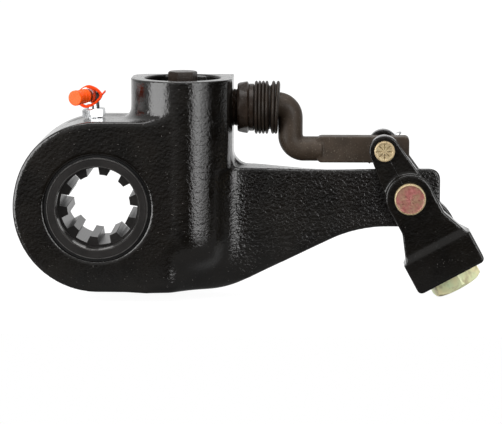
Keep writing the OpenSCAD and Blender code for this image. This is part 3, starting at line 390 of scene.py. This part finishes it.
def rounded_copy(node, name, voxel, *passes, shape=None):
    """A copy of a CAD node with rounded edges.

    shape moves the points first. A pass is a number of smoothing rounds and a weight by place.
    """
    obj = remeshed(node, name, voxel)
    mesh = obj.data
    count = len(mesh.vertices)
    co = np.empty(count * 3)
    mesh.vertices.foreach_get("co", co)
    co = co.reshape(-1, 3)
    edges = np.empty(len(mesh.edges) * 2, np.int64)
    mesh.edges.foreach_get("vertices", edges)
    edges = edges.reshape(-1, 2)
    if shape:
        co = shape(co / MM) * MM
    for rounds, weight in passes:
        share = 0.5 * np.clip(weight(co / MM), 0, 1)
        a, b = edges[(share[edges] > 0).any(1)].T
        degree = np.maximum(np.bincount(a, minlength=count) + np.bincount(b, minlength=count), 1)
        for _ in range(rounds):
            mean = np.empty_like(co)
            for k in range(3):
                mean[:, k] = np.bincount(a, co[b, k], count) + np.bincount(b, co[a, k], count)
            co += share[:, None] * (mean / degree[:, None] - co)
    mesh.vertices.foreach_set("co", co.ravel())
    smooth_faces(mesh)
    mesh.update()
    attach(obj, nodes[node]["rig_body"])
    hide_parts(node)
    paint(obj, LOOKS[node])


def ramp(value, low, high):
    return np.clip((value - low) / (high - low), 0, 1)


def window(value, low, high, rise, fall):
    """1 between low and high, with soft edges inside that are rise and fall wide."""
    return ramp(value, low, low + rise) * ramp(high - value, 0, fall)


def housing_rounding(p):
    """Strong on cast edges, weak at the machined bores, barrel top and pad."""
    x, z = p[:, 0], p[:, 2]
    at_bore, at_top, at_pad, at_eye = 0.25, 0.12, 0.15, 0.2
    from_bore = np.hypot(x, z)
    from_eye = np.hypot(x - PIN.x, z - PIN.z)
    w = np.where(x > 45, 1.0, at_bore + (1 - at_bore) * ramp(from_bore, 38.5, 41))
    w *= at_top + (1 - at_top) * ramp(BARREL_TOP - z, 0.6, 2.5)
    w *= np.where(z > 20, at_pad + (1 - at_pad) * ramp(PAD_X - x, 0.5, 2.5), 1.0)
    return w * (at_eye + (1 - at_eye) * ramp(from_eye, 9, 11))


def foot_blend(p):
    """Only at the front of the barrel's lower end, which runs out softly into plate and arm."""
    x, y, z = p.T
    return window(x, 24, 74, 8, 8) * window(z, -44, -12, 3, 8) * ramp(-y, 7, 11)


def fillet_blend(p):
    """Only at the upright hollow between the front of the barrel and the arm."""
    x, y, z = p.T
    return window(x, 57, 90, 5, 10) * window(z, -36, 17, 6, 3) * ramp(-y, 8, 9.5)


def trim_round_end(p):
    """Takes a little off the round end, apart from its top."""
    most = 0.9
    x, z = p[:, 0], p[:, 2]
    reach = np.hypot(x, z)
    trim = most * ramp(reach, 37, 41) * ramp(-z, -30, -10) * ramp(30 - x, 0, 16)
    for k in (0, 2):
        p[:, k] -= trim * p[:, k] / np.maximum(reach, 1)


def round_pad_corner(p):
    """Pulls the front corner between barrel and pad towards the barrel's circle."""
    left_over = 0.3
    x, y, z = p.T
    off = x - WORM_X
    radius = np.hypot(off, y)
    corner = (z > ARM_TOP) & (off > 4) & (y < 0) & (radius > BARREL_R)
    wanted = BARREL_R + left_over * (radius - BARREL_R)
    pull = np.where(corner, wanted / np.maximum(radius, 1), 1)
    p[:, 0] = np.where(corner, WORM_X + off * pull, x)
    p[:, 1] = y * pull


def crown_arm_top(p):
    """Lets the arm's top fall off towards the back and the eye."""
    drop = 3.2
    x, y, z = p.T
    p[:, 2] -= drop * ramp(x, 76, 122) * ramp(y, -9, 10) * ramp(z, ARM_TOP - 5, ARM_TOP - 1)


def open_rack_bore(p):
    """Widens the rack's bore, because smoothing draws it in."""
    more = 0.5
    x, y, z = p.T
    from_rack = np.hypot(y - RACK_Y, z - RACK_Z)
    bore = (from_rack < RACK_BORE_R + more) & (from_rack > 1) & (x < PAD_X - 1)
    open_up = np.where(bore, more / np.maximum(from_rack, 1), 0)
    p[:, 1] += open_up * (y - RACK_Y)
    p[:, 2] += open_up * (z - RACK_Z)


def cast_shape(p):
    p = p.copy()
    for step in (trim_round_end, round_pad_corner, crown_arm_top, open_rack_bore):
        step(p)
    return p


def clevis_shape(p):
    """The clevis's base is narrower towards the back."""
    most = 0.2
    across = np.array(CLEVIS_ACROSS)
    side = (p - np.array(PIN)) @ across
    down = (p - np.array(PIN)) @ np.array(CLEVIS_DOWN)
    taper = most * ramp(p[:, 1], -9, 18) * ramp(down, 16, 25) * ramp(np.abs(side), 11, 15)
    return p - np.outer(side * taper, across)


def everywhere(p):
    return np.ones(len(p))


rounded_copy("housing", "cast_housing", 0.7, (9, housing_rounding), (110, foot_blend), (220, fillet_blend),
             shape=cast_shape)
rounded_copy("clevis", "cast_clevis", 0.45, (5, everywhere), shape=clevis_shape)
rounded_copy("link_rod", "link", 0.4, (3, everywhere))


# Turned and swept pieces; a skin is its points in mm and its faces
def finish_mesh(name, skin, body, mat, stands_for=None, sharp=35):
    """An object from a skin, smooth apart from edges over sharp degrees, that rides on a body."""
    verts, faces = skin
    mesh = bpy.data.meshes.new(name)
    mesh.from_pydata([tuple(v) for v in np.asarray(verts) * MM], [], faces)
    bm = bmesh.new()
    bm.from_mesh(mesh)
    bmesh.ops.recalc_face_normals(bm, faces=bm.faces)
    bm.to_mesh(mesh)
    bm.free()
    smooth_faces(mesh)
    mesh.set_sharp_from_angle(angle=math.radians(sharp))
    obj = new_object(name, mesh)
    paint(obj, mat)
    if body:
        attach(obj, body)
    if stands_for:
        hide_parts(stands_for)
    return obj


def tube_faces(rings, steps, closed=True):
    """Quads between rings of points; closed joins the last ring to the first."""
    faces = []
    for i in range(rings if closed else rings - 1):
        a, b = i * steps, (i + 1) % rings * steps
        for k in range(steps):
            n = (k + 1) % steps
            faces.append((a + k, a + n, b + n, b + k))
    return faces


def turned(origin, along, start, profile, steps=144):
    """A closed skin round an axis; the profile's distances and radii may be functions of the angle."""
    along, start = Vector(along).normalized(), Vector(start)
    u = (start - along * along.dot(start)).normalized()
    v = along.cross(u)
    angles = np.arange(steps) * 2 * math.pi / steps
    circle = np.outer(np.cos(angles), u) + np.outer(np.sin(angles), v)
    rings = []
    for at, radius in profile:
        at = at(angles) if callable(at) else np.full(steps, at)
        radius = radius(angles) if callable(radius) else np.full(steps, radius)
        rings.append(np.array(origin) + np.outer(at, along) + radius[:, None] * circle)
    return np.concatenate(rings), tube_faces(len(rings), steps)


def swept(path, radial, axial, width, depth, closed, steps=16):
    """A band with a rounded section along a path."""
    fullness = 0.6
    turn = np.arange(steps) * 2 * math.pi / steps
    across = width / 2 * np.sign(np.cos(turn)) * np.abs(np.cos(turn)) ** fullness
    along = depth / 2 * np.sign(np.sin(turn)) * np.abs(np.sin(turn)) ** fullness
    rings = [np.array(p) + np.outer(across, r) + np.outer(along, a) for p, r, a in zip(path, radial, axial)]
    faces = tube_faces(len(rings), steps, closed)
    if not closed:
        last = (len(rings) - 1) * steps
        faces += [tuple(range(steps)), tuple(range(last, last + steps))]
    return np.concatenate(rings), faces


def joined(*skins):
    verts, faces, count = [], [], 0
    for v, f in skins:
        verts.append(v)
        faces += [tuple(k + count for k in face) for face in f]
        count += len(v)
    return np.concatenate(verts), faces


def hexagon(across_flats, corner_at):
    """Radius of a hexagon by angle, with one corner at an angle in degrees."""
    def radius(angles):
        part = np.mod(angles - math.radians(corner_at), math.pi / 3) - math.pi / 6
        return across_flats / 2 / np.cos(part)
    return radius


def limited(radius, limit):
    return lambda angles: np.minimum(radius(angles), limit)


def make_gland():
    """Gland nut: threaded neck, hexagon with a long chamfer towards the housing, and the boot's spigot."""
    neck_at, thread_at, hex_at = PAD_X - 5, PAD_X - 0.4, PAD_X + 2.3
    hex_end, spigot_end = PAD_X + 7.9, PAD_X + 11.9
    bore_r, neck_r, thread_r, spigot_r, chamfer_r = 7.5, 8.7, 9.25, 9.0, 11.65
    pitch, depth, slice_width = 1.25, 0.5, 0.1
    flats = hexagon(24.3, 1)

    def thread(at):
        def radius(angles):
            wave = np.mod(at / pitch + angles / (2 * math.pi), 1)
            return thread_r - depth * np.abs(2 * wave - 1)
        return radius

    profile = [(neck_at, bore_r), (neck_at, neck_r)]
    profile += [(at, thread(at)) for at in np.arange(thread_at, hex_at - slice_width / 2, slice_width)]
    profile += [(hex_at, spigot_r), (hex_at, chamfer_r)]
    for k in range(1, 16):
        profile.append((hex_at + 0.3 * k, limited(flats, chamfer_r + min(0.17 * k, 0.4 + 0.05 * k))))
    profile += [(hex_end - 0.8, limited(flats, 12.8)), (hex_end, limited(flats, 11.5)),
                (hex_end, spigot_r), (spigot_end, spigot_r), (spigot_end, bore_r)]
    skin = turned(RACK_AXIS, ALONG_X, DOWN, profile, 240)
    finish_mesh("threaded_gland", skin, "housing", PHOSPHATE, "gland_nut", 25)


def make_boot_band():
    """Clamp band on the boot's cuff."""
    at, end = PAD_X + 8.0, PAD_X + 10.3
    inner, outer = 11.05, 11.7
    profile = [(at, inner), (at, 11.5), (at + 0.25, outer), (at + 2.0, outer), (end, 11.45), (end, inner)]
    skin = turned(RACK_AXIS, ALONG_X, DOWN, profile)
    finish_mesh("boot_band", skin, "housing", PHOSPHATE)


def make_boot():
    """Bellows with four tight ribs, a deep groove and two ribs that lean towards the rod's bend."""
    cuff = PAD_X + 7.95
    first = cuff + 2.65
    rib, late_rib = 1.74, 1.9
    crest, valley, groove_r, cuff_r = 13.15, 11.5, 10.8, 11.0
    spigot_r, inner_r, lip_r = 9.05, 10.2, 8.6
    lean, roundness, slices = 0.6, 0.55, 12

    def leaning(x, by=lean):
        return lambda angles: x - by * np.cos(angles)

    def bulge(start, length, by):
        rings = []
        for k in range(slices + 1):
            s = k / slices
            height = (1 - (2 * s - 1) ** 2) ** roundness
            rings.append((leaning(start + length * s, by), valley + (crest - valley) * height))
        return rings

    profile = [(cuff, spigot_r), (cuff, cuff_r), (first - 0.1, cuff_r)]
    for i in range(4):
        profile += bulge(first + i * rib, rib, 0)
    groove = first + 4 * rib
    profile += [(groove + 0.3, groove_r), (groove + 1.0, groove_r)]
    profile += bulge(groove + 1.3, late_rib, 0.2)
    profile += bulge(groove + 3.2, late_rib, lean)
    end = groove + 5.1
    profile += [(leaning(end), cuff_r), (leaning(end - 0.2), lip_r), (leaning(end - 0.8), lip_r),
                (leaning(end - 0.8), inner_r), (first, inner_r), (first, spigot_r)]
    skin = turned(RACK_AXIS, ALONG_X, DOWN, profile)
    boot = finish_mesh("bellows_boot", skin, None, BOOT_RUBBER, "boot", 60)

    def place(x):
        return tuple(MM * (RACK_AXIS + Vector((x, 0, 0))))

    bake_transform(boot)


def make_hub_edges():
    """Chamfers at the outer edge and the recess of the wheel's hub, in a lighter metal that paints their
    highlight lines, with the recess's turned wall.
    """
    proud, into = 0.02, 0.5
    face, wall = HUB_FRONT - proud, RECESS_R - 0.08
    outer = [(HUB_FRONT + into, HUB_R - into), (HUB_FRONT + into, HUB_R + proud),
             (HUB_FRONT + 0.22, HUB_R + proud), (face, HUB_R - 0.22), (face, HUB_R - into)]
    inner = [(RECESS_END, RECESS_R + into), (RECESS_END, wall), (HUB_FRONT + 0.38, wall),
             (face, RECESS_R + 0.32), (face, RECESS_R + into)]
    skin = joined(*(turned((0, 0, 0), ALONG_Y, UP, ring) for ring in (outer, inner)))
    finish_mesh("hub_edges", skin, "wheel", HIGHLIGHT_EDGE, None, 20)


def make_clevis_pin():
    """Headed pin with an uneven face, and the bright rim of its head."""
    face, back = -22.9, 26.9
    head_r, rim_r, shank_r = 7.4, 7.6, 6.35
    rings, spokes = 9, 24
    dents = np.random.default_rng(7).uniform(0.1, 0.34, (rings, spokes))
    spoke_angles = np.arange(spokes + 1) * math.pi / 12

    def dented(k):
        round_trip = np.append(dents[k], dents[k, 0])
        return lambda angles: face + np.interp(angles, spoke_angles, round_trip)

    profile = [(face + 0.2, CORE_R)] + [(dented(k), 0.7 * (k + 1)) for k in range(rings)]
    profile += [(face + 0.15, 6.6), (face + 0.02, 6.8), (face + 0.6, head_r), (BOSS_FACE, head_r),
                (BOSS_FACE, shank_r), (back - 0.6, shank_r), (back, shank_r - 0.6), (back, CORE_R)]
    skin = turned(PIN, ALONG_Y, UP, profile, 96)
    finish_mesh("headed_clevis_pin", skin, "clevis", PIN_FINISH, "clevis_pin")
    rim = [(face + 0.2, 6.85), (face, 7.0), (face, 7.15), (face + 0.15, 7.42), (face + 0.5, rim_r),
           (BOSS_FACE, rim_r), (BOSS_FACE, 6.85)]
    finish_mesh("clevis_pin_rim", turned(PIN, ALONG_Y, UP, rim, 96), "clevis", CREAM)


def make_link_pin():
    """Pin with a flat rim round a shallow hollow that is staked by eight radial notches."""
    face, back = -19.2, 24.4
    head_r, shank_r = 5.0, 4.0
    hollow, notch, notches = 0.15, 1.7, 8

    def staked(depth):
        return lambda angles: face + hollow + notch * depth * np.maximum(0, np.cos(notches * angles)) ** 3

    profile = [(face + 0.12, CORE_R), (face + 0.12, 0.9), (staked(0.25), 1.3), (staked(0.4), 2.0),
               (staked(0.45), 2.8), (staked(0.4), 3.4), (staked(0.1), 3.8), (face, 4.1), (face, 4.6),
               (face + 0.15, 4.85), (face + 0.5, head_r), (EAR_FACE, head_r), (EAR_FACE, shank_r),
               (back - 0.6, shank_r), (back, shank_r - 0.6), (back, CORE_R)]
    skin = turned(LINK_PIN, ALONG_Y, UP, profile, 192)
    finish_mesh("staked_link_pin", skin, "clevis", CREAM, "link_pin", 30)


def make_collar():
    """Hexagon collar with a chamfered lower end and a threaded bore."""
    inner, top, low = 26.0, 44.6, 52.2
    bore_r, neck_r, round_r, thread_depth = 7.25, 9.9, 13.5, 0.25
    flats = hexagon(23.8, 18.2)
    profile = [(inner, bore_r), (inner, neck_r), (top, neck_r), (top, 11.4),
               (top + 0.25, limited(flats, 11.9)), (top + 0.8, limited(flats, round_r))]
    for k in range(7):
        profile.append((low - 1.5 + 0.25 * k, limited(flats, round_r - 0.36 * k)))
    bore_end = low - 0.9
    profile += [(low, 8.2), (bore_end, bore_r)]
    for k in range(40):
        profile.append((bore_end - 0.35 * (k + 1), bore_r + thread_depth * (k % 4 in (1, 2))))
    skin = turned(PIN, CLEVIS_DOWN, CLEVIS_ACROSS, profile, 180)
    finish_mesh("hexagon_collar", skin, "collar", YELLOW, "push_rod_collar", 22)


def make_cap():
    """Hollow grease cap with two rings and a thicker end."""
    bore_r, body_r, end_r = 2.57, 3.27, 3.75
    profile = [(6.5, bore_r), (6.5, 3.3), (6.8, 3.6), (7.8, 3.6), (8.1, body_r), (9.2, body_r), (9.5, 3.55),
               (10.6, 3.55), (10.9, body_r), (13.7, body_r), (13.95, 3.6), (14.2, end_r), (15.9, end_r),
               (16.2, 3.6), (16.3, 3.3), (16.22, 2.6), (16.2, CORE_R), (13.3, CORE_R), (13.3, bore_r)]
    skin = turned(ELBOW, NIPPLE, UP, profile, 72)
    finish_mesh("moulded_cap", skin, "cap", ORANGE, "grease_cap", 40)


def make_strap():
    """Loop round the nipple's neck that leans towards the cap, with a neck to the cap and a pull tab."""
    loop_r, lean, points = 4.9, 2.2, 64
    squareness, sag = 0.1, 0.3
    up = FITTING_UP
    side = up.cross(NIPPLE)
    centre = ELBOW + 3.7 * NIPPLE - 0.6 * up + 0.4 * side
    turns = np.arange(points) * 2 * math.pi / points
    out = [side * math.cos(t) + up * math.sin(t) for t in turns]
    reach = [math.cos(t) + squareness * math.cos(3 * t) + sag * min(math.sin(t), 0) for t in turns]
    loop = [centre + loop_r * (c * side + math.sin(t) * up) - lean * c * NIPPLE for c, t in zip(reach, turns)]
    ring = swept(loop, out, [NIPPLE] * points, 1.5, 1.2, True)

    def stub(start, way, radial, axial, width, depth):
        path = [start + k / 6 * way for k in range(7)]
        return swept(path, [radial] * 7, [axial] * 7, width, depth, False)

    tongue = stub(loop[points // 2], lean * NIPPLE + 1.3 * side, side, up, 1.0, 2.2)
    tab = stub(loop[0], 2.6 * side + 2.1 * up, up, NIPPLE, 1.1, 1.0)
    skin = joined(ring, tongue, tab)
    strap = finish_mesh("cap_loop", skin, None, STRAP, "cap_strap", 50)

    def place(s):
        return tuple(MM * (ELBOW + s * NIPPLE))

    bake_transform(strap)


def make_mould_line():
    """Fine flash line left by the mould between the two pins on the clevis's front."""
    width, count = 0.5, 9
    skins = []
    for high, low, face in ((20.9, 11.7, EAR_FACE), (11.4, 7.9, BOSS_FACE)):
        above_pin = [high + (low - high) * k / (count - 1) for k in range(count)]
        path = [PIN - h * CLEVIS_DOWN + Vector((0, face, 0)) for h in above_pin]
        skins.append(swept(path, [CLEVIS_ACROSS] * count, [Vector(ALONG_Y)] * count, width, width, False, 8))
    finish_mesh("mould_line", joined(*skins), "clevis", CLEVIS_PAINT)


make_gland()
make_boot_band()
make_boot()
make_hub_edges()
make_clevis_pin()
make_link_pin()
make_collar()
make_cap()
make_strap()
make_mould_line()


# Stage, in metres
WHITE = (1, 1, 1, 1)
MIDDLE_X = 0.07
FLOOR_Z = cad_box[0][2] - 0.0004


def make_stage():
    """A white table whose near edge is close in front of the object.

    The panels reach below that edge, so that they show low on the castings. To the camera the table is
    white with a faint shadow. For other rays it is dark in front of the object and pale behind, where it
    also glows in reflections.
    """
    near, far, side = -0.1, 6, 4
    dark, pale = (0.12, 0.12, 0.12), (0.85, 0.85, 0.85)
    glow_strength, glow_share = 1.15, 0.82
    mesh = bpy.data.meshes.new("floor")
    mesh.from_pydata([(-side, near, 0), (side, near, 0), (side, far, 0), (-side, far, 0)], [], [(0, 1, 2, 3)])
    floor = new_object("floor", mesh)
    floor.location = (MIDDLE_X, 0, FLOOR_Z)
    mat = bpy.data.materials.new("white_floor")
    t = NodeTree(mat)
    out = t.add("OutputMaterial")
    rays = t.add("LightPath").outputs
    place = t.add("SeparateXYZ", Vector=t.add("TexCoord").outputs["Object"])
    behind = t.span(place.outputs["Y"], -0.03, 0.05, 0.06, 1.0, smooth=True)
    tint = t.mix(t.math("MAXIMUM", rays["Is Camera Ray"], behind), dark, pale)
    lit = t.add("BsdfDiffuse", Color=tint)
    glow = t.add("Emission", Color=WHITE, Strength=glow_strength)
    mirrored = t.math("MAXIMUM", rays["Is Glossy Ray"], rays["Is Transmission Ray"])
    seen = t.math("MAXIMUM", rays["Is Camera Ray"], t.math("MULTIPLY", mirrored, behind))
    mix = t.add("MixShader", Fac=t.math("MULTIPLY", seen, glow_share))
    t.put(lit.outputs["BSDF"], mix.inputs[1])
    t.put(glow.outputs["Emission"], mix.inputs[2])
    t.put(mix.outputs["Shader"], out.inputs["Surface"])
    paint(floor, mat)


def make_world():
    """White to the camera; for other rays white behind, and elsewhere brighter towards the top left."""
    world = bpy.data.worlds.new("studio")
    scene.world = world
    t = NodeTree(world)
    out = t.add("OutputWorld")
    coords = t.add("TexCoord").outputs["Generated"]
    level = t.add("LightPath").outputs["Is Camera Ray"]
    behind, up_left = (0, 1, 0), (-0.35, 0, 0.94)
    for towards, low, high, bright in ((behind, 0.25, 0.8, 1.0), (up_left, -0.26, 0.24, 0.6)):
        along = t.operate("VectorMath", "DOT_PRODUCT", coords, towards).outputs["Value"]
        level = t.math("MAXIMUM", level, t.span(along, low, high, 0.0, bright, smooth=True))
    back = t.add("Background", Color=WHITE, Strength=level)
    t.put(back.outputs["Background"], out.inputs["Surface"])


def area_lamp(name, place, at, width, height, radiance):
    data = bpy.data.lights.new(name, "AREA")
    data.shape = "RECTANGLE"
    data.size, data.size_y = width, height
    data.energy = radiance * math.pi * width * height
    lamp = bpy.data.objects.new(name, data)
    scene.collection.objects.link(lamp)
    lamp.location = place
    aim(lamp, at)


def side_panel(name, azimuth, half_angle, radiance, away):
    """An upright panel that lights the barrel and reaches below the table; azimuth 0 is the front."""
    a = math.radians(azimuth)
    width = 2 * away * math.tan(math.radians(half_angle))
    height = 0.3 + 0.6 * away
    low = FLOOR_Z - 0.05 - 0.13 * away
    barrel = Vector((WORM_X * MM, -0.02, low + height / 2))
    place = barrel + away * Vector((math.sin(a), -math.cos(a), 0))
    area_lamp(name, place, barrel, width, height, radiance)


make_stage()
make_world()
side_panel("right_panel", azimuth=34.5, half_angle=10.5, radiance=5.2, away=1.5)
side_panel("right_edge_panel", azimuth=52, half_angle=6, radiance=2.6, away=1.5)
side_panel("left_panel", azimuth=-55, half_angle=21, radiance=6.2, away=0.6)
area_lamp("top_panel", (MIDDLE_X, -0.2, 1.2), (MIDDLE_X, 0, 0.01), width=1.2, height=0.8, radiance=4.0)
